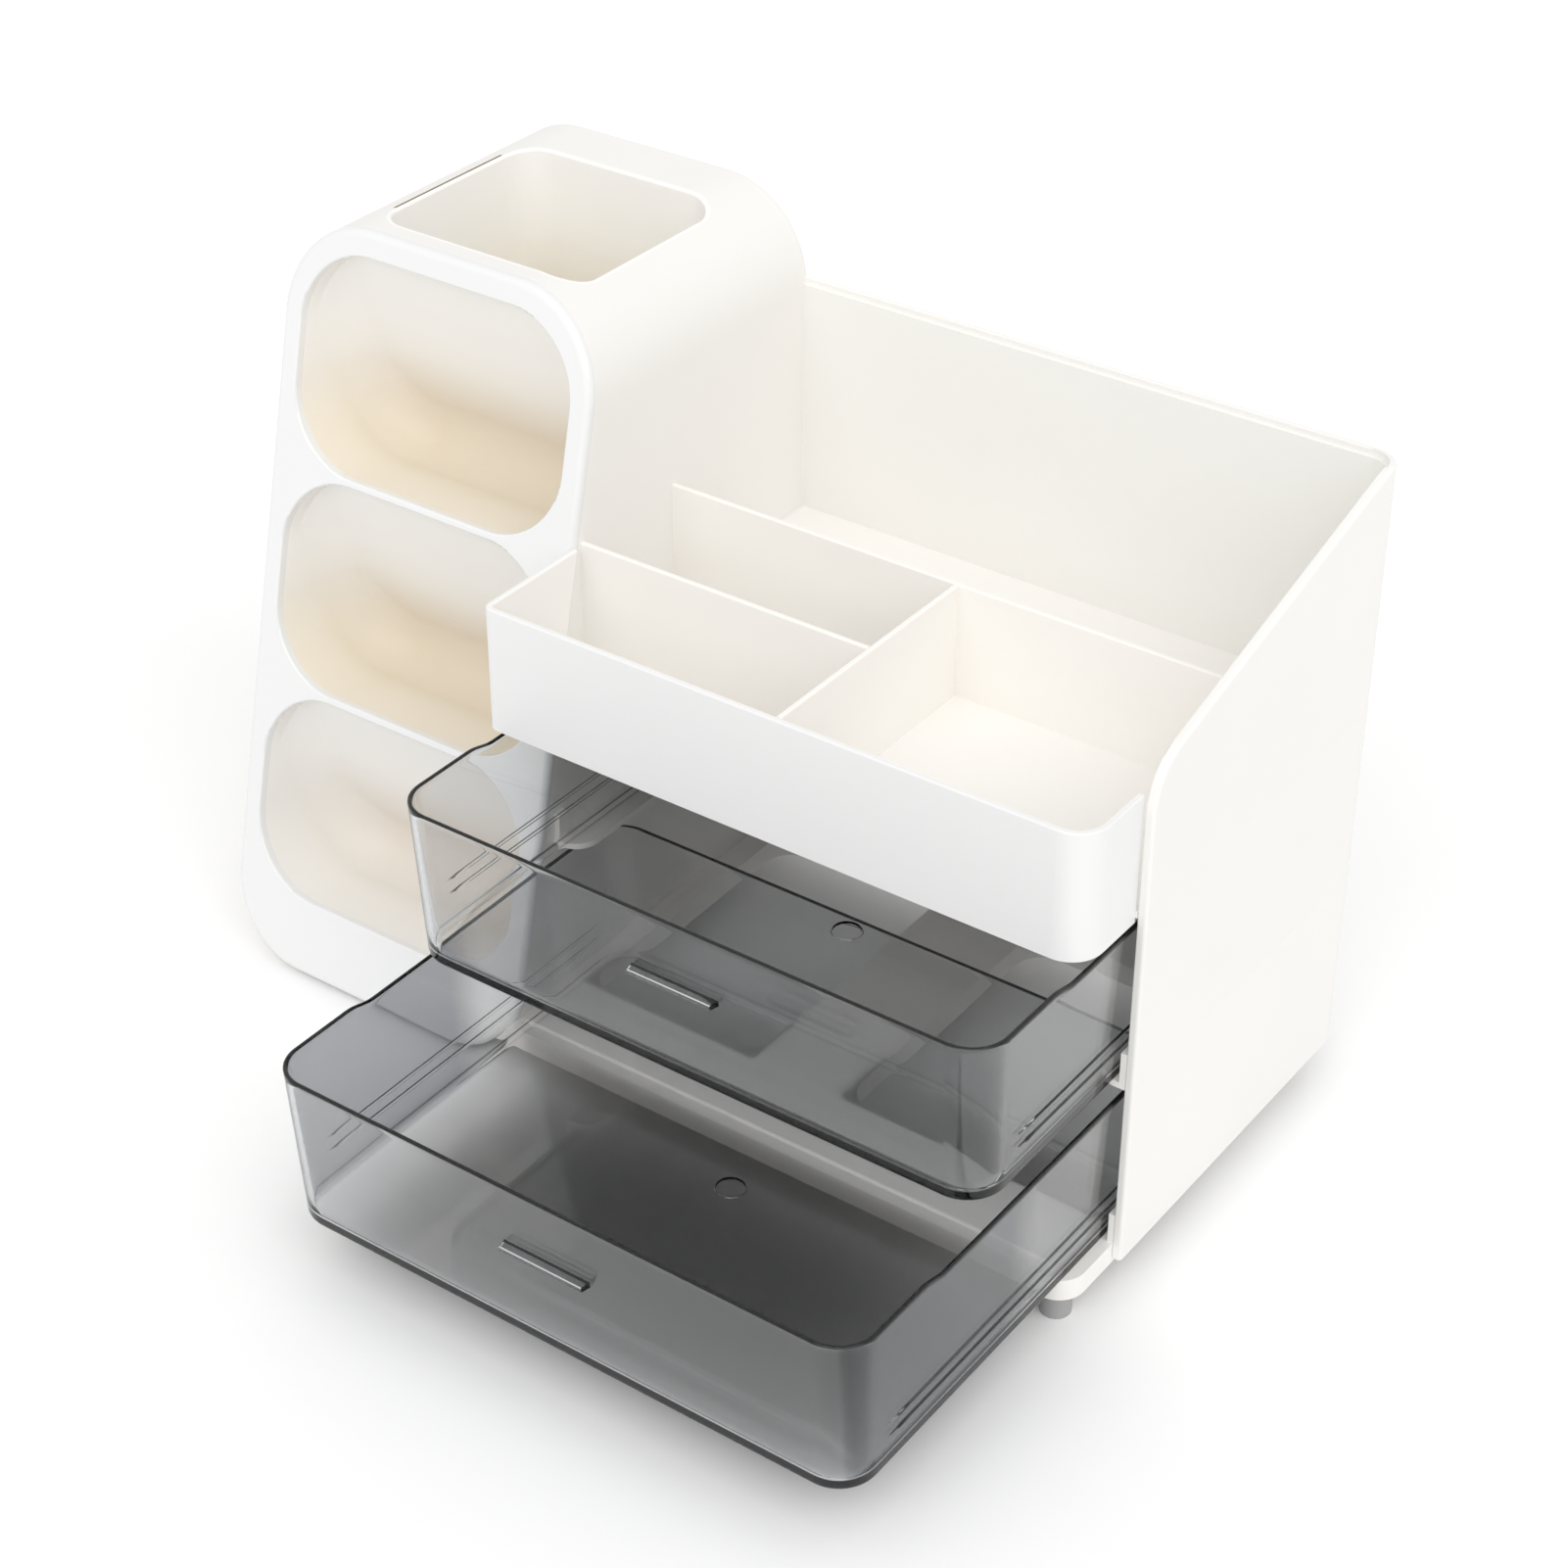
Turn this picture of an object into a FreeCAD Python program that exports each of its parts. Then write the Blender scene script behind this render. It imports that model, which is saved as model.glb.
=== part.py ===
"""Desktop makeup organizer: a brush and bottle tower beside a two-drawer cabinet with an open tray.

Frame: +Z up, X to the right, the front faces -Y. The origin lies on the ground under the middle of
the organizer as it stands, with its lower drawer pulled out. All sizes are millimetres.
"""
import FreeCAD, Part
import math
import os

Vector = FreeCAD.Vector

# Whole body
tower_width = 120.8
cabinet_width = 208.6
body_depth = 163.2
joint_gap = 0.2

# Tower: a rounded sleeve, cut in front by a face that leans back
tower_height = 246.5
tower_clearance = 2.1
tower_top_radius = 31.0
tower_foot_radius = 28.5
shell_wall = 2.2
face_lean = 13.5
face_thickness = 3.0
face_edge_radius = 2.2
rear_edge_radius = 1.8

# Windows in the face, each the mouth of a wedge-shaped pocket, and the frame left round them
window_count = 3
lowest_window = 28.2
window_head = 7.6
window_side = 7.2
window_web = 2.3
window_radius = 26.0
window_edge_radius = 0.7
pocket_wall = 0.9
pocket_back_angle = 36.0
pocket_end_radius = 12.0

# Brush well in the top of the tower, and the frame left round it
well_front_frame = 9.8
well_rear_frame = 22.8
well_left_frame = 26.4
well_right_frame = 18.2
well_drop = 85.0
well_radius = 10.2
well_wall = 1.6
well_slot = 0.9
well_edge_radius = 0.8

# Cabinet walls
panel_wall = 3.0
panel_setback = 27.2
panel_bottom = 13.3
panel_front_top = 182.6
panel_bend_radius = 17.0
panel_rear_bend_radius = 30.0
panel_edge_radius = 1.2
panel_inner_edge_radius = 0.6
corner_radius = 9.5
corner_return = 1.0
back_height = 218.3
back_lip_height = 2.4
back_lip_step = 1.0
back_edge_radius = 0.6

# Open tray on top of the cabinet and its dividers
tray_wall = 2.0
tray_bottom = 133.4
tray_top = 174.8
tray_floor_top = 137.0
tray_floor = 2.0
tray_right_radius = 10.2
tray_left_radius = 3.4
tray_end_gap = 0.6
tray_edge_radius = 0.6
divider_wall = 1.8
divider_edge_radius = 0.5
rear_divider_place = 91.0
centre_divider_place = 104.3
cross_divider_place = 46.0

# Drawers: one moulding, used twice
drawer_depth = 159.5
drawer_height = 54.5
drawer_wall = 2.0
drawer_side_gap = 1.7
drawer_side_draft = 1.4
drawer_front_draft = 3.0
drawer_radius = 12.2
rim_step = 2.0
rim_step_start = 34.0
rim_step_length = 11.0
side_rib_depth = 1.6
side_rib_height = 1.3
side_rib_start = 22.0
lower_rib_place = 10.5
upper_rib_place = 15.3
grip_length = 30.0
grip_height = 2.0
grip_depth = 3.6
grip_place = 32.5
gate_radius = 4.5
gate_depth = 0.6
gate_place = 85.0
slide_gap = 0.3
tray_gap = 1.1
upper_opened = 45.8
lower_opened = 104.8

# Runner ledges under the upper drawer
runner_width = 11.2
runner_thickness = 2.0
runner_nose_radius = 8.0
guide_depth = 1.8
guide_length = 4.0

# Base frame under the lower drawer
base_bottom = 11.2
base_top = 18.7
base_setback = 3.1
base_plate = 2.2
base_skirt = 2.0
base_nose_radius = 9.0
front_bar = 30.2
rear_bar = 18.0
left_bar = 6.0
right_bar = 7.2
base_web = 34.7
base_web_place = 71.9
base_window_radius = 10.0
groove_place = 3.6
groove_width = 2.4
groove_depth = 1.0

# Feet
foot_radius = 4.8
pad_radius = 6.0
pad_side_inset = 40.0
pad_front_inset = 17.0
pad_rear_inset = 14.0

# Places that follow from the sizes above
left_side = -(tower_width + cabinet_width) / 2
right_side = (tower_width + cabinet_width) / 2
joint_side = left_side + tower_width
grip_reach = grip_depth - drawer_front_draft / 2
front_side = (lower_opened + grip_reach - body_depth) / 2
rear_side = front_side + body_depth
panel_inside = right_side - panel_wall
back_inside = rear_side - panel_wall
panel_front = front_side + panel_setback
tower_middle = (left_side + joint_side) / 2
lean = math.radians(face_lean)
back_angle = math.radians(pocket_back_angle)
window_width = tower_width - 2 * window_side
window_height = (tower_height - lowest_window - window_head - (window_count - 1) * window_web) / window_count
upper_drawer_top = tray_bottom - tray_gap
upper_drawer_bottom = upper_drawer_top - drawer_height
lower_drawer_bottom = base_top + slide_gap
runner_top = upper_drawer_bottom - slide_gap
reach = 2 * (tower_height + tower_width + cabinet_width + body_depth)


# Flat outlines and the prisms made from them

def rounded_face(corners):
    """Flat face in the XY plane. Each corner is (u, v, radius), rounded by an arc tangent to its sides."""
    count = len(corners)
    starts = []
    middles = []
    ends = []
    for index, (u, v, radius) in enumerate(corners):
        here = Vector(u, v, 0)
        to_before = (Vector(corners[index - 1][0], corners[index - 1][1], 0) - here).normalize()
        after = corners[(index + 1) % count]
        to_after = (Vector(after[0], after[1], 0) - here).normalize()
        half_angle = to_before.getAngle(to_after) / 2
        setback = radius / math.tan(half_angle)
        bisector = (to_before + to_after).normalize()
        starts.append(here + to_before * setback)
        middles.append(here + bisector * (radius / math.sin(half_angle) - radius))
        ends.append(here + to_after * setback)
    edges = []
    for index in range(count):
        if corners[index][2] > 0:
            edges.append(Part.Arc(starts[index], middles[index], ends[index]).toShape())
        following = starts[(index + 1) % count]
        if ends[index].distanceToPoint(following) > 1e-6:
            edges.append(Part.makeLine(ends[index], following))
    return Part.Face(Part.Wire(edges))


def rectangle(u0, u1, v0, v1, radii):
    """Rectangle with a radius for each corner: low-left, low-right, high-right, high-left."""
    places = ((u0, v0), (u1, v0), (u1, v1), (u0, v1))
    return rounded_face([(u, v, radius) for (u, v), radius in zip(places, radii)])


def prism_z(face, z0, z1):
    """Plan outline (x, y) raised from z0 to z1."""
    moved = face.copy()
    moved.translate(Vector(0, 0, z0))
    return moved.extrude(Vector(0, 0, z1 - z0))


def prism_y(face, y0, y1):
    """Front outline (x, z) run from y0 back to y1."""
    moved = face.copy()
    moved.rotate(Vector(0, 0, 0), Vector(1, 0, 0), 90)
    moved.translate(Vector(0, y0, 0))
    return moved.extrude(Vector(0, y1 - y0, 0))


def prism_x(face, x0, x1):
    """Side outline (y, z) run from x0 across to x1."""
    moved = face.copy()
    moved.rotate(Vector(0, 0, 0), Vector(1, 1, 1), 120)
    moved.translate(Vector(x0, 0, 0))
    return moved.extrude(Vector(x1 - x0, 0, 0))


def box(x0, x1, y0, y1, z0, z1):
    return Part.makeBox(x1 - x0, y1 - y0, z1 - z0, Vector(x0, y0, z0))


def cylinder(x, y, z0, z1, radius):
    return Part.makeCylinder(radius, z1 - z0, Vector(x, y, z0))


def fillet(solid, radius, wanted):
    """Round the edges that the test picks."""
    return solid.makeFillet(radius, [edge for edge in solid.Edges if wanted(edge)])


# Tower

def tower_block(inset):
    """The tower's full rounded section, run from front to rear, smaller by inset all round."""
    section = rectangle(left_side + inset, joint_side - inset,
                        tower_clearance + inset, tower_height - inset,
                        (tower_foot_radius - inset, tower_foot_radius - inset,
                         tower_top_radius - inset, tower_top_radius - inset))
    return prism_y(section, front_side - face_thickness, rear_side - inset)


def before_face(offset):
    """All the space in front of the leaning face, moved back square to the face by offset."""
    block = box(-reach, reach, front_side - reach, front_side, -reach, reach)
    block.rotate(Vector(0, front_side, 0), Vector(1, 0, 0), -face_lean)
    block.translate(Vector(0, math.cos(lean), -math.sin(lean)) * offset)
    return block


def face_depth(z):
    """Where the leaning face lies, front to back, at height z."""
    return front_side + z * math.tan(lean)


def on_face(point):
    """True where a point lies on the leaning face's outer plane."""
    return abs(point.y - face_depth(point.z)) < 0.01


def window_middle(number):
    return lowest_window + window_height / 2 + number * (window_height + window_web)


def stand_on_face(shape, number):
    """Move a shape drawn upright round its own origin onto the face: origin in the window's middle, +Y up
    along the face and +Z out of it."""
    height = window_middle(number)
    turn = FreeCAD.Rotation(Vector(1, 0, 0), 90 - face_lean)
    shape.Placement = FreeCAD.Placement(Vector(tower_middle, face_depth(height), height), turn)
    return shape


def window_half_height():
    """Half of a window's height, measured along the leaning face."""
    return window_height / math.cos(lean) / 2


def back_wall_line(offset, rise):
    """Point (up the face, out of the face) on a pocket's back wall, moved back square to it by offset,
    at a height of rise above the window's top edge. At the edge itself the wall starts behind the plate."""
    up = window_half_height() + offset * math.sin(back_angle) + rise
    out = -face_thickness - offset * math.cos(back_angle) + rise * math.tan(back_angle)
    return (up, out, 0)


def pocket_space(number, grow):
    """Wedge behind one window, larger by grow all round: it runs in square to the face and ends on a
    slanting back wall, with a round inner corner along its floor and sides."""
    half_width = window_width / 2 + grow
    half_height = window_half_height() + grow
    radius = window_radius + grow
    above = window_half_height()
    below = 4 * window_half_height()
    high = back_wall_line(grow, above)
    low = back_wall_line(grow, -below)
    front = high[1] + above
    wedge = prism_x(rounded_face([high, low, (low[0], front, 0), (high[0], front, 0)]),
                    -half_width - above, half_width + above)
    trough = rectangle(-half_width, half_width, -half_height, below, (radius, radius, 0, 0))
    wedge = wedge.common(prism_z(trough, low[1] - above, front + above))
    normal = Vector(0, math.sin(back_angle), -math.cos(back_angle))
    on_wall = Vector(0, high[0], high[1])

    def round_back(edge):
        middle = edge.valueAt((edge.FirstParameter + edge.LastParameter) / 2)
        points = [middle] + [vertex.Point for vertex in edge.Vertexes]
        flat = all(abs((point - on_wall).dot(normal)) < 0.01 for point in points)
        return middle.y < high[0] - 0.01 and flat

    wedge = fillet(wedge, pocket_end_radius + grow, round_back)
    arch = rectangle(-half_width, half_width, -below, half_height, (0, 0, radius, radius))
    wedge = wedge.common(prism_z(arch, low[1] - above, front + above))
    return stand_on_face(wedge, number)


def make_pocket(number):
    """One pocket: a thin wedge-shaped scoop behind its window."""
    outside = pocket_space(number, pocket_wall).cut(before_face(face_thickness))
    return outside.common(tower_block(shell_wall + joint_gap)).cut(pocket_space(number, 0))


def make_tower_face():
    """Face plate of the tower: the full section with its windows, all edges softly rounded."""
    plate = tower_block(0).cut(before_face(0)).common(before_face(face_thickness))
    plate = fillet(plate, face_edge_radius,
                   lambda edge: all(on_face(vertex.Point) for vertex in edge.Vertexes))
    for number in range(window_count):
        plate = plate.cut(pocket_space(number, 0))
    highest = window_middle(window_count - 1) + window_height / 2 + 0.01

    def window_edge(edge):
        points = [vertex.Point for vertex in edge.Vertexes]
        inside = all(abs(point.x - tower_middle) < window_width / 2 + 0.01 and
                     lowest_window - 0.01 < point.z < highest for point in points)
        return inside and all(on_face(point) for point in points)

    return fillet(plate, window_edge_radius, window_edge)


def well_front():
    return face_depth(tower_height) + well_front_frame


def well_outline(grow):
    """Plan of the brush well, larger by grow all round."""
    return rectangle(left_side + well_left_frame - grow, joint_side - well_right_frame + grow,
                     well_front() - grow, rear_side - well_rear_frame + grow,
                     (well_radius + grow,) * 4)


def behind_top_pocket(offset):
    """All the space behind the top pocket's back wall, moved back square to it by offset."""
    high = back_wall_line(offset, reach)
    low = back_wall_line(offset, -reach)
    space = prism_x(rounded_face([high, low, (low[0], low[1] - reach, 0), (high[0], low[1] - reach, 0)]),
                    -reach, reach)
    return stand_on_face(space, window_count - 1)


def make_brush_well():
    """Cup let into the tower's top: its front wall slants back behind the top pocket to a flat floor."""
    floor = tower_height - well_drop
    cup = prism_z(well_outline(well_wall), floor - well_wall, tower_height).common(tower_block(0))
    cup = cup.common(behind_top_pocket(pocket_wall + joint_gap))
    hollow = prism_z(well_outline(0), floor, tower_height + shell_wall)
    hollow = hollow.common(behind_top_pocket(pocket_wall + joint_gap + well_wall))
    cup = cup.cut(hollow)
    mouth = well_outline(0).BoundBox

    def inner_rim(edge):
        extent = edge.BoundBox
        across = extent.XMin > mouth.XMin - 0.01 and extent.XMax < mouth.XMax + 0.01
        along = extent.YMin > mouth.YMin - 0.01 and extent.YMax < mouth.YMax + 0.01
        return extent.ZMin > tower_height - 0.01 and across and along

    return fillet(cup, well_edge_radius, inner_rim)


def make_tower_shell():
    """Sleeve of the tower with its top, sides, floor and rear wall, open towards the face plate."""
    block = tower_block(0)
    block = fillet(block, rear_edge_radius,
                   lambda edge: all(vertex.Point.y > rear_side - 0.01 for vertex in edge.Vertexes))
    shell = block.cut(before_face(face_thickness)).cut(tower_block(shell_wall))
    below = tower_height - tower_top_radius
    above = tower_height + shell_wall
    shell = shell.cut(prism_z(well_outline(well_wall), below, above))
    slot_right = left_side + well_left_frame
    slot = box(slot_right - well_wall - well_slot, slot_right, well_front() + well_radius,
               rear_side - well_rear_frame - well_radius, below, above)
    return shell.cut(slot)


# Cabinet walls

def side_outline():
    """Side view (y, z) of the right wall: upright in front, then a slope up to the rear wall's top."""
    return rounded_face([(panel_front, panel_bottom, 0), (rear_side, panel_bottom, 0),
                         (rear_side, back_height, 0),
                         (rear_side - corner_radius, back_height, panel_rear_bend_radius),
                         (panel_front, panel_front_top, panel_bend_radius)])


def make_side_panel():
    """Right wall, which turns the rear corner in a round bend and ends in a short return."""
    inner_radius = corner_radius - panel_wall
    return_end = right_side - corner_radius - corner_return
    plan = rounded_face([(panel_inside, panel_front, 0), (right_side, panel_front, 0),
                         (right_side, rear_side, corner_radius), (return_end, rear_side, 0),
                         (return_end, back_inside, 0), (panel_inside, back_inside, inner_radius)])
    wall = prism_z(plan, panel_bottom, reach)
    wall = wall.common(prism_x(side_outline(), joint_side, right_side)).cut(lip_step())

    def top_edge(edge):
        middle = edge.valueAt((edge.FirstParameter + edge.LastParameter) / 2)
        start = edge.Vertexes[0].Point
        end = edge.Vertexes[-1].Point
        along = abs(start.x - end.x) < 0.01 and abs(start.y - end.y) + abs(start.z - end.z) > 0.01
        return along and middle.z > panel_bottom + 0.01 and middle.y < rear_side - corner_radius - 0.01

    wall = fillet(wall, panel_edge_radius,
                  lambda edge: top_edge(edge) and edge.BoundBox.XMin > right_side - 0.01)
    return fillet(wall, panel_inner_edge_radius,
                  lambda edge: top_edge(edge) and edge.BoundBox.XMax < panel_inside + 0.01)


def lip_step():
    """Space cut from the inside of the rear wall's top and of the round corner, which leaves a thin lip."""
    left_end = joint_side - tower_foot_radius
    bend_x = right_side - corner_radius
    bend_y = rear_side - corner_radius
    low = back_height - back_lip_height
    straight = box(left_end, bend_x, back_inside, back_inside + back_lip_step, low, back_height)
    round_corner = cylinder(bend_x, bend_y, low, back_height, corner_radius - panel_wall + back_lip_step)
    round_corner = round_corner.common(box(bend_x, right_side, bend_y, rear_side, low, back_height))
    return straight.fuse(round_corner)


def make_back_panel():
    """Rear wall of the cabinet, with a thin stepped lip along its top."""
    left_end = joint_side - tower_foot_radius
    right_end = right_side - corner_radius - corner_return
    wall = box(left_end, right_end, back_inside, rear_side, panel_bottom, back_height)
    wall = wall.cut(lip_step()).cut(tower_block(0))

    def along_top(edge):
        return edge.BoundBox.ZMin > back_height - 0.01 and edge.BoundBox.XLength > corner_radius

    wall = fillet(wall, panel_edge_radius,
                  lambda edge: along_top(edge) and edge.BoundBox.YMin > rear_side - 0.01)
    return fillet(wall, back_edge_radius,
                  lambda edge: along_top(edge) and edge.BoundBox.YMax < back_inside + back_lip_step + 0.01)


# Tray and dividers

def make_top_tray():
    """Tray on top of the cabinet: its front stands out past the side panel, its floor runs to the rear."""
    end = panel_inside - tray_end_gap
    outer = rectangle(joint_side, end, front_side, panel_front,
                      (tray_left_radius, tray_right_radius, 0, 0))
    inner = rectangle(joint_side + tray_wall, end - tray_wall, front_side + tray_wall, panel_front,
                      (tray_left_radius - tray_wall, tray_right_radius - tray_wall, 0, 0))
    rim = prism_z(outer, tray_bottom, tray_top)
    rim = rim.cut(prism_z(inner, tray_bottom, tray_top))
    left_wall = box(joint_side, joint_side + tray_wall, panel_front, face_depth(tray_top),
                    tray_bottom, tray_top)
    left_wall = left_wall.common(before_face(0))
    floor_bottom = tray_floor_top - tray_floor
    front_floor = prism_z(outer, floor_bottom, tray_floor_top)
    rear_floor = box(joint_side, panel_inside, panel_front, back_inside, floor_bottom, tray_floor_top)
    inner_corner = prism_z(side_corner_fill(), floor_bottom, tray_floor_top)
    tray = rim.fuse([left_wall, front_floor, rear_floor.cut(inner_corner)]).removeSplitter()
    return fillet(tray, tray_edge_radius,
                  lambda edge: edge.BoundBox.ZMin > tray_top - 0.01 and edge.Length > tray_wall + 0.01)


def side_corner_fill():
    """Plan of the small fillet that the side panel leaves in the cabinet's rear inner corner."""
    inner_radius = corner_radius - panel_wall
    square = rectangle(panel_inside - inner_radius, panel_inside, back_inside - inner_radius, back_inside,
                       (0, 0, 0, 0))
    disc = Part.Face(Part.Wire(Part.makeCircle(inner_radius, Vector(panel_inside - inner_radius,
                                                                    back_inside - inner_radius, 0))))
    return square.cut(disc).Faces[0]


def divider(x0, x1, y0, y1):
    """Upright wall on the tray's floor with a softly rounded top."""
    wall = box(x0, x1, y0, y1, tray_floor_top, tray_top)
    return fillet(wall, divider_edge_radius,
                  lambda edge: edge.BoundBox.ZMin > tray_top - 0.01 and edge.Length > divider_wall + 0.01)


def make_rear_divider():
    """Full-width wall between the compartments and the bay at the rear."""
    y = front_side + rear_divider_place
    return divider(joint_side, panel_inside, y, y + divider_wall)


def make_centre_divider():
    """Wall from the tray's front to the rear divider."""
    x = joint_side + centre_divider_place
    return divider(x - divider_wall / 2, x + divider_wall / 2, front_side + tray_wall,
                   front_side + rear_divider_place)


def make_cross_divider():
    """Short wall that splits the left half of the tray."""
    y = front_side + cross_divider_place
    return divider(joint_side, joint_side + centre_divider_place - divider_wall / 2, y, y + divider_wall)


# Drawers

def drawer_section(inset, front, z, height):
    """Plan wire of a drawer at height z above its bottom: the walls lean in towards the bottom."""
    share = 1 - z / height
    side = drawer_side_gap + share * drawer_side_draft + inset
    face = rectangle(joint_side + side, panel_inside - side,
                     front + share * drawer_front_draft + inset, front + drawer_depth - inset,
                     (drawer_radius - inset,) * 4)
    wire = face.OuterWire
    wire.translate(Vector(0, 0, z))
    return wire


def make_drawer(bottom, front):
    """Clear tray-like drawer with thin walls, side ribs, a stepped rim and a small grip rib in front."""
    over = 5.0
    outside = Part.makeLoft([drawer_section(0, front, 0, drawer_height),
                             drawer_section(0, front, drawer_height, drawer_height)], True, True)
    hollow = Part.makeLoft([drawer_section(drawer_wall, front, drawer_wall, drawer_height),
                            drawer_section(drawer_wall, front, drawer_height + over, drawer_height)],
                           True, True)
    body = outside.fuse(drawer_ribs(front).common(drawer_rib_space(front)))
    body = body.fuse(drawer_grip(front)).cut(hollow)
    body = body.cut(rim_cut(front)).cut(gate_mark(front)).removeSplitter()
    body.translate(Vector(0, 0, bottom))
    return body


def drawer_ribs(front):
    """Two bars across the drawer; only their ends stand out of its sides, as two ribs on each side."""
    bars = []
    for place in (lower_rib_place, upper_rib_place):
        bars.append(box(joint_side, panel_inside, front + side_rib_start, front + drawer_depth - drawer_radius,
                        place, place + side_rib_height))
    return bars[0].fuse(bars[1])


def drawer_rib_space(front):
    """The drawer's section grown by the depth of the ribs."""
    return Part.makeLoft([drawer_section(-side_rib_depth, front, 0, drawer_height),
                          drawer_section(-side_rib_depth, front, drawer_height, drawer_height)], True, True)


def drawer_grip(front):
    """Short rib on the middle of the drawer's front, to pull it by."""
    middle = (joint_side + panel_inside) / 2
    return box(middle - grip_length / 2, middle + grip_length / 2, front - grip_reach,
               front + drawer_front_draft + drawer_wall / 2, grip_place, grip_place + grip_height)


def rim_cut(front):
    """Behind its front corner the rim slopes down by a small step and stays lower to the rear."""
    start = front + rim_step_start
    low = drawer_height - rim_step
    profile = rounded_face([(start, drawer_height, 0), (start + rim_step_length, low, 0),
                            (front + 2 * drawer_depth, low, 0),
                            (front + 2 * drawer_depth, drawer_height + rim_step, 0),
                            (start, drawer_height + rim_step, 0)])
    return prism_x(profile, joint_side, panel_inside)


def gate_mark(front):
    """Round recess left by the mould, in the middle of the drawer's floor."""
    return cylinder((joint_side + panel_inside) / 2, front + gate_place, drawer_wall - gate_depth,
                    drawer_wall + gate_depth, gate_radius)


# Runners and base

def make_runner(wall_x, direction):
    """Ledge that carries one side of the upper drawer, with a guide tab at its front."""
    edge_x = wall_x + direction * runner_width
    low_x = min(wall_x, edge_x)
    high_x = max(wall_x, edge_x)
    nose = (0, runner_nose_radius) if direction > 0 else (runner_nose_radius, 0)
    ledge = prism_z(rectangle(low_x, high_x, panel_front, back_inside, nose + (0, 0)),
                    runner_top - runner_thickness, runner_top)
    tab = guide_tab(wall_x, direction, runner_top, upper_drawer_bottom + lower_rib_place - slide_gap)
    return ledge.cut(prism_z(side_corner_fill(), 0, tower_height)).fuse(tab).removeSplitter()


def guide_tab(wall_x, direction, bottom, top):
    """Small upright tab on a side wall, just under the drawer's lower side rib."""
    edge_x = wall_x + direction * guide_depth
    return box(min(wall_x, edge_x), max(wall_x, edge_x), panel_front, panel_front + guide_length,
               bottom, top)


def base_window(x0, x1, grow):
    """Plan of one window in the base frame, larger by grow all round."""
    return rectangle(x0 - grow, x1 + grow, base_window_front() - grow, back_inside - rear_bar + grow,
                     (base_window_radius + grow,) * 4)


def base_window_front():
    return front_side + base_setback + front_bar


def base_windows(grow):
    """Both windows, left and right of the web, raised through the frame."""
    web_left = joint_side + base_web_place
    windows = (base_window(joint_side + left_bar, web_left, grow),
               base_window(web_left + base_web, panel_inside - right_bar, grow))
    return [prism_z(window, base_bottom - base_plate, base_top + base_plate) for window in windows]


def base_plan(inset):
    """Plan of the base frame with a round front right corner."""
    return rectangle(joint_side - tower_foot_radius + inset, panel_inside - inset,
                     front_side + base_setback + inset, back_inside - inset,
                     (0, base_nose_radius - inset, 0, 0))


def make_base_frame():
    """Frame that the lower drawer slides on: a thin plate with skirts, two windows and a grooved front."""
    frame = prism_z(base_plan(0), base_bottom, base_top)
    corner = prism_z(side_corner_fill(), base_bottom - base_plate, base_top + base_plate)
    frame = frame.cut(tower_block(0)).cut(corner).cut(base_windows(0))
    under = prism_z(base_plan(base_skirt), base_bottom - base_plate, base_top - base_plate)
    under = under.cut(tower_block(-base_skirt)).cut(base_windows(base_skirt))
    corner_room = prism_z(side_corner_fill(), base_bottom - base_plate, base_top)
    corner_room.translate(Vector(-base_skirt, -base_skirt, 0))
    groove_front = front_side + base_setback + groove_place
    groove = box(joint_side, panel_inside - base_nose_radius, groove_front, groove_front + groove_width,
                 base_top - groove_depth, base_top + groove_depth)
    frame = frame.cut(under.cut(corner_room)).cut(groove)
    tab_top = lower_drawer_bottom + lower_rib_place - slide_gap
    tab = guide_tab(panel_inside, -1, base_top - groove_depth, tab_top)
    return frame.fuse(tab).removeSplitter()


# Feet

def make_foot(y):
    """Tall foot under the free right end of the base frame; it reaches up to the frame's plate."""
    x = panel_inside - base_nose_radius
    return cylinder(x, y, 0, base_top - base_plate, foot_radius)


def make_pad(x, y):
    """Flat pad under the tower."""
    return cylinder(x, y, 0, tower_clearance, pad_radius)


def main():
    foot_front = front_side + base_setback + base_nose_radius
    foot_rear = back_inside - base_nose_radius
    pad_left = left_side + pad_side_inset
    pad_right = joint_side - pad_side_inset
    pad_front = front_side + pad_front_inset
    pad_rear = rear_side - pad_rear_inset
    nodes = {
        "tower_shell": make_tower_shell(),
        "tower_face": make_tower_face(),
        "lower_pocket": make_pocket(0),
        "middle_pocket": make_pocket(1),
        "upper_pocket": make_pocket(2),
        "brush_well": make_brush_well(),
        "side_panel": make_side_panel(),
        "back_panel": make_back_panel(),
        "top_tray": make_top_tray(),
        "rear_divider": make_rear_divider(),
        "centre_divider": make_centre_divider(),
        "cross_divider": make_cross_divider(),
        "upper_drawer": make_drawer(upper_drawer_bottom, front_side - upper_opened),
        "lower_drawer": make_drawer(lower_drawer_bottom, front_side - lower_opened),
        "left_runner": make_runner(joint_side, 1),
        "right_runner": make_runner(panel_inside, -1),
        "base_frame": make_base_frame(),
        "front_foot": make_foot(foot_front),
        "rear_foot": make_foot(foot_rear),
        "front_left_pad": make_pad(pad_left, pad_front),
        "front_right_pad": make_pad(pad_right, pad_front),
        "rear_left_pad": make_pad(pad_left, pad_rear),
        "rear_right_pad": make_pad(pad_right, pad_rear),
    }
    os.makedirs("parts", exist_ok=True)
    for name, shape in nodes.items():
        print(name, len(shape.Solids), shape.isValid(), round(shape.Volume / 1000, 2), "cm3")
        shape.exportStep("parts/" + name + ".step")


main()
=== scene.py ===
import math

import bpy
import numpy as np
from mathutils import Matrix, Vector


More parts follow.
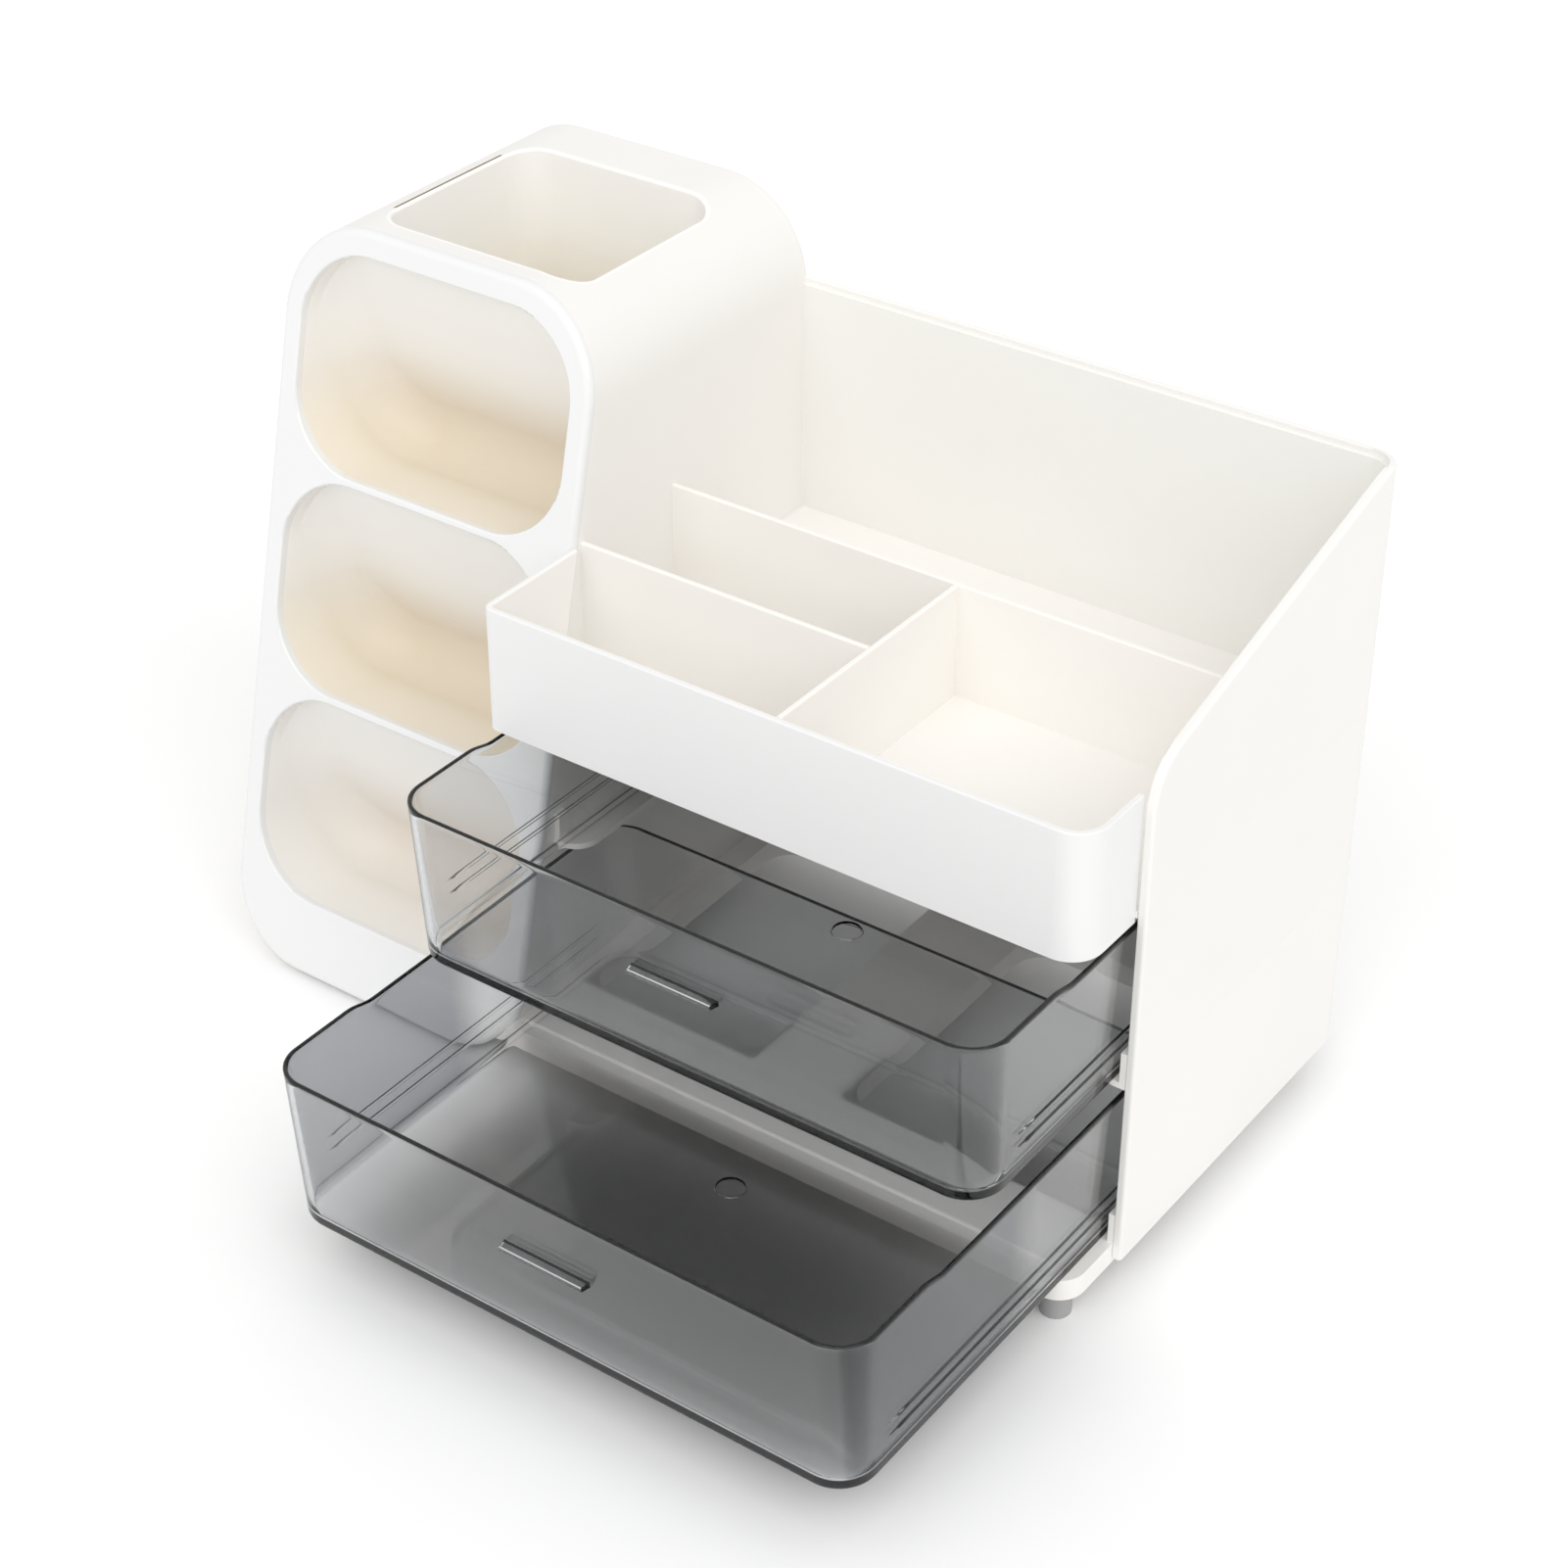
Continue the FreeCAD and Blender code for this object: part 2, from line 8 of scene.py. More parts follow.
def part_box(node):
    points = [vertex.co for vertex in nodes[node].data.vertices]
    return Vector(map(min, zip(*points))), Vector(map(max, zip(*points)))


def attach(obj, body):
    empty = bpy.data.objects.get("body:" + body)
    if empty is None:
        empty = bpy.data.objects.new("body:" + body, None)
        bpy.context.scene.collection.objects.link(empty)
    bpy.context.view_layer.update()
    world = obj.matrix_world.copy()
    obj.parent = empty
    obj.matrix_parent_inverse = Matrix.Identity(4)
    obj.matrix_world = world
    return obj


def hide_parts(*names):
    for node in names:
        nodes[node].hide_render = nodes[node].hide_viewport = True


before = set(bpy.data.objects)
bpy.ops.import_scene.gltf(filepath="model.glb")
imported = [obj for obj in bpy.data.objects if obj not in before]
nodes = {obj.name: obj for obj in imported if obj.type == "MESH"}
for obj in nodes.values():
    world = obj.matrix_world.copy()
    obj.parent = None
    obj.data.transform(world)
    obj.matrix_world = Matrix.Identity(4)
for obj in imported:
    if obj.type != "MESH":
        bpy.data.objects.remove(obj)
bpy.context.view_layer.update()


# Table
# A plain white table top, wide enough to fill the view. The camera, reflections and the clear drawers
# all see it in the same full white; the light that it throws back is a little lower.
table_half_width = 6.0
table_seen = (1.05, 1.05, 1.05)
table_lit = (0.90, 0.90, 0.90)


def arithmetic(tree, operation, first, second=None, third=None):
    """Socket of a math node: each of its inputs is a socket or a number."""
    node = tree.nodes.new("ShaderNodeMath")
    node.operation = operation
    for index, value in enumerate((first, second, third)):
        if isinstance(value, (int, float)):
            node.inputs[index].default_value = value
        elif value is not None:
            tree.links.new(value, node.inputs[index])
    return node.outputs[0]


def two_colours(tree, share, first, second):
    """Socket of a colour that goes from the first to the second with the share."""
    mixed = tree.nodes.new("ShaderNodeMixRGB")
    mixed.inputs[1].default_value = (*first, 1)
    mixed.inputs[2].default_value = (*second, 1)
    tree.links.new(share, mixed.inputs[0])
    return mixed.outputs[0]


def seen_directly(tree):
    """Socket that is 1 for camera, glossy and transmission rays and 0 for the light's own bounces."""
    path = tree.nodes.new("ShaderNodeLightPath")
    seen = arithmetic(tree, "MAXIMUM", path.outputs["Is Camera Ray"], path.outputs["Is Glossy Ray"])
    return arithmetic(tree, "MAXIMUM", seen, path.outputs["Is Transmission Ray"])


def make_table():
    """Flat square at the height of the ground."""
    mesh = bpy.data.meshes.new("table_top")
    corners = np.array([(-1, -1, 0), (1, -1, 0), (1, 1, 0), (-1, 1, 0)], float) * table_half_width
    mesh.from_pydata(corners.tolist(), [], [(0, 1, 2, 3)])
    table = bpy.data.objects.new("table_top", mesh)
    bpy.context.collection.objects.link(table)
    material = bpy.data.materials.new("table_white")
    material.use_nodes = True
    tree = material.node_tree
    tree.nodes.clear()
    colour = two_colours(tree, seen_directly(tree), table_lit, table_seen)
    diffuse = tree.nodes.new("ShaderNodeBsdfDiffuse")
    output = tree.nodes.new("ShaderNodeOutputMaterial")
    tree.links.new(colour, diffuse.inputs["Color"])
    tree.links.new(diffuse.outputs[0], output.inputs["Surface"])
    mesh.materials.append(material)


make_table()


# Studio light
# An even white room with two broad suns above the camera, one from the front and one from the right,
# whose soft light reaches into the open tray.
room_light = 0.73
room_seen = 1.0
sun_strength = 0.70
sun_width = math.radians(50.0)
front_sun_azimuth = 8.0
right_sun_azimuth = 68.0
sun_elevation = 41.0


def rescale(tree, value, span, result=(0.0, 1.0)):
    """Socket that goes evenly from the first to the second result as the value crosses the span."""
    node = tree.nodes.new("ShaderNodeMapRange")
    node.inputs["From Min"].default_value = span[0]
    node.inputs["From Max"].default_value = span[1]
    node.inputs["To Min"].default_value = result[0]
    node.inputs["To Max"].default_value = result[1]
    tree.links.new(value, node.inputs["Value"])
    return node.outputs["Result"]


def make_room():
    """Even white room: plain white where it is seen, a little lower in the light that it gives."""
    world = bpy.data.worlds.new("studio_room")
    bpy.context.scene.world = world
    world.use_nodes = True
    tree = world.node_tree
    tree.nodes.clear()
    strength = rescale(tree, seen_directly(tree), (0.0, 1.0), (room_light, room_seen))
    background = tree.nodes.new("ShaderNodeBackground")
    background.inputs["Color"].default_value = (1, 1, 1, 1)
    output = tree.nodes.new("ShaderNodeOutputWorld")
    tree.links.new(strength, background.inputs["Strength"])
    tree.links.new(background.outputs[0], output.inputs["Surface"])


def broad_sun(name, azimuth, elevation):
    """Even light from one direction: azimuth counts from the front towards the right."""
    data = bpy.data.lights.new(name, "SUN")
    data.energy = sun_strength
    data.angle = sun_width
    lamp = bpy.data.objects.new(name, data)
    bpy.context.collection.objects.link(lamp)
    turn = math.radians(azimuth)
    rise = math.radians(elevation)
    towards = Vector((math.sin(turn) * math.cos(rise), -math.cos(turn) * math.cos(rise), math.sin(rise)))
    lamp.location = towards
    lamp.rotation_mode = "QUATERNION"
    lamp.rotation_quaternion = towards.to_track_quat("Z", "Y")


make_room()
broad_sun("front_sun", front_sun_azimuth, sun_elevation)
broad_sun("right_sun", right_sun_azimuth, sun_elevation)


# Camera
# At the photograph's angle: to the right of the front and well above, with a long lens.
camera_azimuth = math.radians(35.63)
camera_elevation = math.radians(33.62)
camera_roll = math.radians(0.10)
camera_place = (0.4958, -0.6309, 0.6483)
camera_focal_pixels = 3300.0
photo_pixels = 1601.0
camera_sensor = 36.0
camera_clip = (0.01, 50.0)


def make_camera():
    """Camera that looks along its azimuth and elevation, with its up and right turned by a slight roll."""
    back = Vector((math.sin(camera_azimuth) * math.cos(camera_elevation),
                   -math.cos(camera_azimuth) * math.cos(camera_elevation), math.sin(camera_elevation)))
    right = Vector((math.cos(camera_azimuth), math.sin(camera_azimuth), 0))
    up = back.cross(right)
    rolled_right = right * math.cos(camera_roll) + up * math.sin(camera_roll)
    rolled_up = back.cross(rolled_right)
    data = bpy.data.cameras.new("photo_camera")
    data.sensor_width = camera_sensor
    data.lens = camera_focal_pixels / photo_pixels * camera_sensor
    data.clip_start, data.clip_end = camera_clip
    camera = bpy.data.objects.new("photo_camera", data)
    bpy.context.collection.objects.link(camera)
    camera.location = camera_place
    camera.rotation_mode = "QUATERNION"
    camera.rotation_quaternion = Matrix((rolled_right, rolled_up, back)).transposed().to_quaternion()
    bpy.context.scene.camera = camera
    bpy.context.scene.view_settings.view_transform = "Standard"


make_camera()


# Tower sleeve
# The rounded sleeve of the tower, moulded in warm white plastic with a satin skin. The skin's broad
# mottle, its changes of gloss and its fine grain are shared by all the moulded plastics.
sleeve_low_colour = (0.900, 0.882, 0.846)
sleeve_high_colour = (0.918, 0.900, 0.866)
sleeve_gloss = (0.40, 0.46)
sleeve_grain = 0.05
mottle_noise = (9.0, 2.0)
gloss_noise = (70.0, 3.0)
grain_noise = (1900.0, 2.0)
ripple_noise = (26.0, 1.0)
ripple_strength = 0.04
ripple_height = 0.0006
grain_height = 0.00015
mottle_span = (0.35, 0.65)
gloss_span = (0.30, 0.70)


def cloud(tree, scale, detail):
    """Soft noise that stays with the piece."""
    place = tree.nodes.new("ShaderNodeTexCoord")
    texture = tree.nodes.new("ShaderNodeTexNoise")
    texture.inputs["Scale"].default_value = scale
    texture.inputs["Detail"].default_value = detail
    tree.links.new(place.outputs["Object"], texture.inputs["Vector"])
    return texture.outputs["Fac"]


def make_moulded_skin():
    """Shader group of the moulded skin: a broad mottle, a gloss value and a normal with a faint ripple under
    fine grain. Each comes from noise of its own scale and detail."""
    group = bpy.data.node_groups.new("moulded_skin", "ShaderNodeTree")
    grain_depth = group.interface.new_socket("Grain", in_out="INPUT", socket_type="NodeSocketFloat")
    grain_depth.default_value = sleeve_grain
    group.interface.new_socket("Mottle", in_out="OUTPUT", socket_type="NodeSocketFloat")
    group.interface.new_socket("Gloss", in_out="OUTPUT", socket_type="NodeSocketFloat")
    group.interface.new_socket("Normal", in_out="OUTPUT", socket_type="NodeSocketVector")
    inputs = group.nodes.new("NodeGroupInput")
    outputs = group.nodes.new("NodeGroupOutput")
    coarse = group.nodes.new("ShaderNodeBump")
    coarse.inputs["Strength"].default_value = ripple_strength
    coarse.inputs["Distance"].default_value = ripple_height
    fine = group.nodes.new("ShaderNodeBump")
    fine.inputs["Distance"].default_value = grain_height
    group.links.new(cloud(group, *ripple_noise), coarse.inputs["Height"])
    group.links.new(cloud(group, *grain_noise), fine.inputs["Height"])
    group.links.new(inputs.outputs["Grain"], fine.inputs["Strength"])
    group.links.new(coarse.outputs["Normal"], fine.inputs["Normal"])
    group.links.new(cloud(group, *mottle_noise), outputs.inputs["Mottle"])
    group.links.new(cloud(group, *gloss_noise), outputs.inputs["Gloss"])
    group.links.new(fine.outputs["Normal"], outputs.inputs["Normal"])
    return group


moulded_skin = make_moulded_skin()


def moulded_plastic(name, low_colour, high_colour, gloss, grain):
    """Opaque moulded plastic: two close tones mottled together, and gloss that wanders between two values."""
    material = bpy.data.materials.new(name)
    material.use_nodes = True
    tree = material.node_tree
    shader = tree.nodes["Principled BSDF"]
    skin = tree.nodes.new("ShaderNodeGroup")
    skin.node_tree = moulded_skin
    skin.inputs["Grain"].default_value = grain
    tone = rescale(tree, skin.outputs["Mottle"], mottle_span)
    roughness = rescale(tree, skin.outputs["Gloss"], gloss_span, gloss)
    tree.links.new(two_colours(tree, tone, low_colour, high_colour), shader.inputs["Base Color"])
    tree.links.new(roughness, shader.inputs["Roughness"])
    tree.links.new(skin.outputs["Normal"], shader.inputs["Normal"])
    return material


def dress(material, *names):
    """Give a material to the frame's own pieces."""
    for name in names:
        for slot in nodes[name].material_slots:
            slot.material = material


def ramp(tree, value, start, end):
    """Socket that rises smoothly from 0 at start to 1 at end."""
    node = tree.nodes.new("ShaderNodeMapRange")
    node.interpolation_type = "SMOOTHSTEP"
    node.inputs["From Min"].default_value = start
    node.inputs["From Max"].default_value = end
    tree.links.new(value, node.inputs["Value"])
    return node.outputs["Result"]


def place_parts(tree):
    """X, Y and Z of the point in the organizer's own frame."""
    place = tree.nodes.new("ShaderNodeTexCoord")
    parts = tree.nodes.new("ShaderNodeSeparateXYZ")
    tree.links.new(place.outputs["Object"], parts.inputs[0])
    return parts.outputs


def band(tree, value, low, high, soft):
    """Socket that is 1 between low and high and fades to 0 over a soft edge outside them."""
    rise = ramp(tree, value, low - soft, low)
    fall = ramp(tree, value, high + soft, high)
    return arithmetic(tree, "MULTIPLY", rise, fall)


def tint(tree, share, colour, blend="MIX"):
    """Lay a colour over the plastic's own, as strongly as the share says."""
    shader = tree.nodes["Principled BSDF"]
    plain = shader.inputs["Base Color"].links[0].from_socket
    mixed = tree.nodes.new("ShaderNodeMixRGB")
    mixed.blend_type = blend
    mixed.inputs[2].default_value = (*colour, 1)
    tree.links.new(share, mixed.inputs[0])
    tree.links.new(plain, mixed.inputs[1])
    tree.links.new(mixed.outputs[0], shader.inputs["Base Color"])


# The narrow slot between the sleeve's top and the brush well, with a painted brown shade on its walls.
slot_wall = -0.1408
slot_half = 0.00030
slot_above = 0.20
slot_front = 0.0510
slot_rear = 0.1021
# Painted shade: the brown stands in for the shade deep in the narrow slot.
slot_painted_shade = (0.38, 0.29, 0.19)


def sleeve_material():
    """Sleeve plastic with a painted brown shade on the walls of the narrow slot beside the brush well."""
    material = moulded_plastic("sleeve_plastic", sleeve_low_colour, sleeve_high_colour, sleeve_gloss,
                               sleeve_grain)
    tree = material.node_tree
    x, y, z = place_parts(tree)
    across = band(tree, x, slot_wall - slot_half, slot_wall + slot_half, slot_half / 2)
    along = band(tree, y, slot_front, slot_rear, slot_half)
    high = ramp(tree, z, slot_above, slot_above + slot_half)
    # Painted shade laid on the slot's walls.
    tint(tree, arithmetic(tree, "MULTIPLY", across, arithmetic(tree, "MULTIPLY", along, high)), slot_painted_shade)
    return material


dress(sleeve_material(), "tower_shell")


# Face plate
# The tower's leaning front, a separate moulding in a cooler, glossier white, snapped onto the sleeve.
plate_low_colour = (0.858, 0.862, 0.858)
plate_high_colour = (0.872, 0.876, 0.872)
plate_gloss = (0.14, 0.18)
plate_grain = 0.01

dress(moulded_plastic("plate_plastic", plate_low_colour, plate_high_colour, plate_gloss, plate_grain),
      "tower_face")


# Pockets and brush well
# Thin scoops behind the windows and a cup in the top, loose inserts in a slightly warmer white, with
# a painted tan shade deep down.
insert_low_colour = (0.932, 0.915, 0.885)
insert_high_colour = (0.948, 0.932, 0.905)
insert_gloss = (0.42, 0.48)
insert_grain = 0.05
# Painted shade: the tan towards each pocket's floor and the darker crease at its deep end stand in for the
# shade inside.
pocket_shade_tan = (0.885, 0.820, 0.700)
lower_pocket_shade_tan = (0.910, 0.885, 0.845)

# The pockets lean with the face plate, whose foot is in front, and their floors climb it by one pitch.
face_lean = math.radians(13.5)
lean_cosine = math.cos(face_lean)
lean_sine = math.sin(face_lean)
face_foot = -0.02815
lowest_floor = 0.0280
pocket_pitch = 0.0730
tan_below = 0.006
plain_above = 0.040
crease_painted_shade = (0.83, 0.79, 0.74)
crease_from = 0.018
crease_to = 0.048

# The brush well, pale at the mouth, with a painted tan shade towards its bottom.
well_low_colour = (0.972, 0.960, 0.932)
well_high_colour = (0.980, 0.968, 0.942)
# Painted shade: the tan deep in the well stands in for the shade there.
well_shade_tan = (0.965, 0.915, 0.815)
well_tan_below = 0.185
well_plain_above = 0.242


def pocket_material(name, tan):
    """Insert plastic with painted shade: it turns tan towards a pocket's floor and a little darker in the
    crease at its deep end. The floors lie one pitch apart along the leaning face, and the depth is measured
    square to it."""
    material = moulded_plastic(name, insert_low_colour, insert_high_colour, insert_gloss, insert_grain)
    tree = material.node_tree
    _, y, z = place_parts(tree)
    back = arithmetic(tree, "SUBTRACT", y, face_foot)
    along = arithmetic(tree, "MULTIPLY_ADD", z, lean_cosine, arithmetic(tree, "MULTIPLY", back, lean_sine))
    above_first = arithmetic(tree, "SUBTRACT", along, lowest_floor)
    above_floor = arithmetic(tree, "MODULO", above_first, pocket_pitch)
    # Painted tan shade towards each pocket's floor.
    tint(tree, ramp(tree, above_floor, plain_above, tan_below), tan)
    depth = arithmetic(tree, "MULTIPLY_ADD", z, -lean_sine, arithmetic(tree, "MULTIPLY", back, lean_cosine))
    # Painted darker shade in the crease at the pocket's deep end.
    tint(tree, ramp(tree, depth, crease_from, crease_to), crease_painted_shade, "MULTIPLY")
    return material


def well_material():
    """Insert plastic with a painted tan shade towards the bottom of the well."""
    material = moulded_plastic("well_plastic", well_low_colour, well_high_colour, insert_gloss, insert_grain)
    tree = material.node_tree
    _, _, z = place_parts(tree)
    tint(tree, ramp(tree, z, well_plain_above, well_tan_below), well_shade_tan)
    return material


dress(pocket_material("pocket_plastic", pocket_shade_tan), "middle_pocket", "upper_pocket")
dress(pocket_material("lower_pocket_plastic", lower_pocket_shade_tan), "lower_pocket")
dress(well_material(), "brush_well")


# Cabinet walls
# The right wall turns the rear corner into the rear wall. Where the ledge and the tray's floor meet it
# from inside, the plastic has sunk a little and shows two faint level lines on the outside.
wall_low_colour = (0.915, 0.905, 0.872)
wall_high_colour = (0.935, 0.926, 0.894)
wall_gloss = (0.37, 0.42)
wall_grain = 0.05
sink_heights = (0.0765, 0.1360)
sink_half_width = 0.0022
sink_depth = 0.00010
sink_from = 0.010
sink_fade = 0.035


def panel_material():
    """Wall plastic with two shallow level grooves: each is a soft notch in height, fading in to the rear."""
    material = moulded_plastic("panel_plastic", wall_low_colour, wall_high_colour, wall_gloss, wall_grain)
    tree = material.node_tree
    shader = tree.nodes["Principled BSDF"]
    _, y, z = place_parts(tree)
    notches = []
    for height in sink_heights:
        distance = arithmetic(tree, "ABSOLUTE", arithmetic(tree, "SUBTRACT", z, height))
        notches.append(ramp(tree, distance, sink_half_width, 0))
    either = arithmetic(tree, "MAXIMUM", notches[0], notches[1])
    depth = arithmetic(tree, "MULTIPLY", either, ramp(tree, y, sink_from, sink_from + sink_fade))
    bump = tree.nodes.new("ShaderNodeBump")
    bump.invert = True
    bump.inputs["Strength"].default_value = 1.0
    bump.inputs["Distance"].default_value = sink_depth
    skin = shader.inputs["Normal"].links[0].from_socket
    tree.links.new(depth, bump.inputs["Height"])
    tree.links.new(skin, bump.inputs["Normal"])
    tree.links.new(bump.outputs["Normal"], shader.inputs["Normal"])
    return material


dress(moulded_plastic("wall_plastic", wall_low_colour, wall_high_colour, wall_gloss, wall_grain),
      "back_panel")
dress(panel_material(), "side_panel")


# Tray
# The open tray on top of the cabinet, moulded in one with its front: a plain white outside and a painted
# light inside, a lighter and warmer white that stands in for the light bounced about in the tray.
tray_low_colour = (0.876, 0.875, 0.870)
tray_high_colour = (0.892, 0.890, 0.884)
# Painted light: the lighter, warmer inside stands in for light bounced about inside the tray.
tray_inside_painted_light = (0.958, 0.939, 0.907)
tray_gloss = (0.31, 0.36)
tray_grain = 0.03
tray_bend = 0.0102
tray_bend_x = 0.1509
tray_bend_y = -0.01795
tray_left = -0.0439
tray_skin = 0.0016


def tray_material():
    """Tray plastic that turns to the painted inside light, a lighter and warmer white, under the skin of its
    front. The way in from the skin is the front bend's radius less the distance from the bend's centre line."""
    material = moulded_plastic("tray_plastic", tray_low_colour, tray_high_colour, tray_gloss, tray_grain)
    tree = material.node_tree
    x, y, _ = place_parts(tree)
    past_x = arithmetic(tree, "MAXIMUM", arithmetic(tree, "SUBTRACT", x, tray_bend_x), 0)
    past_y = arithmetic(tree, "MAXIMUM", arithmetic(tree, "SUBTRACT", tray_bend_y, y), 0)
    squares = arithmetic(tree, "MULTIPLY_ADD", past_x, past_x, arithmetic(tree, "MULTIPLY", past_y, past_y))
    inward = arithmetic(tree, "SUBTRACT", tray_bend, arithmetic(tree, "SQRT", squares))
    behind_front = ramp(tree, inward, tray_skin / 2, tray_skin)
    behind_end = ramp(tree, x, tray_left + tray_skin / 2, tray_left + tray_skin)
    # Painted light laid on the tray's inside.
    tint(tree, arithmetic(tree, "MULTIPLY", behind_front, behind_end), tray_inside_painted_light)
    return material


dress(tray_material(), "top_tray")


# Dividers, ledges and base frame
# Thin warm white mouldings inside the cabinet: the tray's dividers, the ledges that carry the upper
# drawer and the open frame under the lower one.
inner_low_colour = (0.962, 0.938, 0.898)
inner_high_colour = (0.974, 0.952, 0.915)
inner_gloss = (0.37, 0.42)
inner_grain = 0.04

dress(moulded_plastic("inner_plastic", inner_low_colour, inner_high_colour, inner_gloss, inner_grain),
      "rear_divider", "centre_divider", "cross_divider", "left_runner", "right_runner", "base_frame")


# Feet
# Small soft grey feet and pads pushed into the underside.
foot_low_colour = (0.33, 0.33, 0.33)
foot_high_colour = (0.40, 0.40, 0.40)
foot_gloss = (0.55, 0.75)
foot_grain = 0.20

dress(moulded_plastic("foot_rubber", foot_low_colour, foot_high_colour, foot_gloss, foot_grain),
      "front_foot", "rear_foot", "front_left_pad", "front_right_pad", "rear_left_pad", "rear_right_pad")


# Drawers
# Two equal drawers moulded in lightly smoked clear plastic, polished inside and out: walls that lean in
# towards the bottom, a rounded rim with a small step, two ribs on each side, a grip rib in front and the
# round mark of the moulding gate in the floor.
drawer_rim_width = 0.2022
drawer_rim_depth = 0.1595
drawer_corner = 0.0122
drawer_tall = 0.0545
drawer_side_lean = 0.0014
drawer_front_lean = 0.0030
drawer_low_wall = 0.0020
drawer_high_wall = 0.0014
drawer_floor = 0.0020
outer_bend = 0.0015
inner_bend = 0.0024
rim_drop = 0.0020
rim_drop_from = 0.034
rim_drop_to = 0.045
rib_depth = 0.0005
rib_heights = (0.0105, 0.0153)
rib_tall = 0.0013
rib_from = 0.022
rib_shoulder = 0.75
grip_half = 0.015
grip_low = 0.0325
grip_high = 0.0345
grip_stand = 0.0031
grip_reach = 0.0021
grip_shoulder = 0.90
ridge_edge = 0.0001
ridge_round = 0.0004
gate_radius = 0.0045
gate_depth = 0.0006
gate_place = 0.085
crisp_angle = math.radians(38)

# Columns and rows of the moulding's grid. Pairs a hair apart keep a step sharp. The gate's ring is given
# by distances outside its radius and heights above the floor.
hair = 0.0002
front_columns = (-0.70, -0.45, -0.25)
rear_columns = (0.6, 0.2, -0.2, -0.6)
side_columns = (0.017, 0.028, 0.055)
side_end_gap = 0.008
bend_columns = 15
drop_columns = 9
long_columns = 10
bend_rows = 6
rim_rows = 9
outer_rows = (0.022, 0.028)
lowest_row = 0.006
drop_rows = ((0.040, 0.0), (0.045, 0.1), (0.049, 0.6), (0.052, 1.0))
inner_rows = ((0.028, 0.0), (0.016, 0.0), (0.008, 0.0))
floor_rows = (0.08, 0.25, 0.50, 0.75, 1.0)
rib_end = (0.0006, 0.0003)
gate_clear = 0.0007
gate_ring = ((0.0005, 0.0), (0.0003, 0.0002), (0.0001, 0.0002), (0.0, -0.0001))
gate_dish = 0.0003
square_on = 0.999

# The plastic: its smoke, its polish, its painted side shade, and the places of that shade and of its shading
# part.
smoke_tint = (0.30, 0.325, 0.36)
smoke_density = 112.0
clear_refraction = 1.49
polish_noise = (55.0, 4.0)
polish_span = (0.35, 0.75)
polish_roughness = (0.003, 0.014)
swell_noise = (18.0, 1.0)
swell_strength = 0.10
swell_height = 0.0008
clear_colour = (0.98, 0.98, 0.98)
# Painted shade: the lower drawer's sides turn darker in front, standing in for the dark table seen through
# them.
painted_side_shade = (0.50, 0.51, 0.53)
side_shade_below = 0.0740
side_shade_aside = 0.0970
side_shade_before = -0.048
side_shade_fade = 0.010
side_shade_edge = 0.002
drawer_middle = 0.0589
wall_shade = (0.985, 0.985, 0.985)
floor_shade = (0.20, 0.20, 0.20)
shaded_below = 0.0225
shaded_before = -0.028
shaded_fade = 0.004
shaded_edge = 0.0005
window_sides = ((-0.0379, 0.0280), (0.0627, 0.1545))
window_front = 0.0052
window_rear = 0.1140
window_fade = 0.002


def smooth_step(value, start, end):
    """0 below start, 1 above end and a smooth S between them."""
    share = np.clip((value - start) / (end - start), 0, 1)
    return share * share * (3 - 2 * share)


def drawer_columns():
    """Columns round the plan, anticlockwise from the front's left end: for each one the place of its arc's
    centre, measured from the middle of the front, and its outward direction."""
    half = drawer_rim_width / 2 - drawer_corner
    near = drawer_corner
    far = drawer_rim_depth - drawer_corner
    across = np.array(front_columns) * half
    grip = np.array([grip_half + hair, grip_half, grip_half - 3 * hair, grip_half / 3])
    front = np.concatenate([across, -grip, grip[::-1], -across[::-1]])
    side = np.concatenate([[side_columns[0], rib_from - hair, rib_from + 3 * hair, side_columns[1]],
                           np.linspace(rim_drop_from, rim_drop_to, drop_columns),
                           np.linspace(side_columns[2], far - side_end_gap, long_columns),
                           [far - 4 * hair, far - hair]])
    rear = np.array(rear_columns) * half
    arc = np.linspace(0, np.pi / 2, bend_columns)
    runs = [np.array([front, np.full_like(front, near), 0 * front, 0 * front - 1])]
    bends = ((half, near, -np.pi / 2), (half, far, 0), (-half, far, np.pi / 2), (-half, near, np.pi))
    for cx, cy, start in bends:
        angle = start + arc
        runs.append(np.array([np.full_like(arc, cx), np.full_like(arc, cy), np.cos(angle), np.sin(angle)]))
        if start == -np.pi / 2:
            runs.append(np.array([np.full_like(side, half), side, 0 * side + 1, 0 * side]))
        if start == 0:
            runs.append(np.array([rear, np.full_like(rear, far), 0 * rear, 0 * rear + 1]))
        if start == np.pi / 2:
            runs.append(np.array([np.full_like(side, -half), side[::-1], 0 * side - 1, 0 * side]))
    return np.concatenate(runs, axis=1)


def ridge_rows(low, high, shoulder):
    """Rows across a small raised ridge with rounded shoulders: height and share of its full stand."""
    return ((low - ridge_edge, 0), (low + ridge_edge, shoulder), (low + ridge_round, 1),
            (high - ridge_round, 1), (high - ridge_edge, shoulder), (high + ridge_edge, 0))


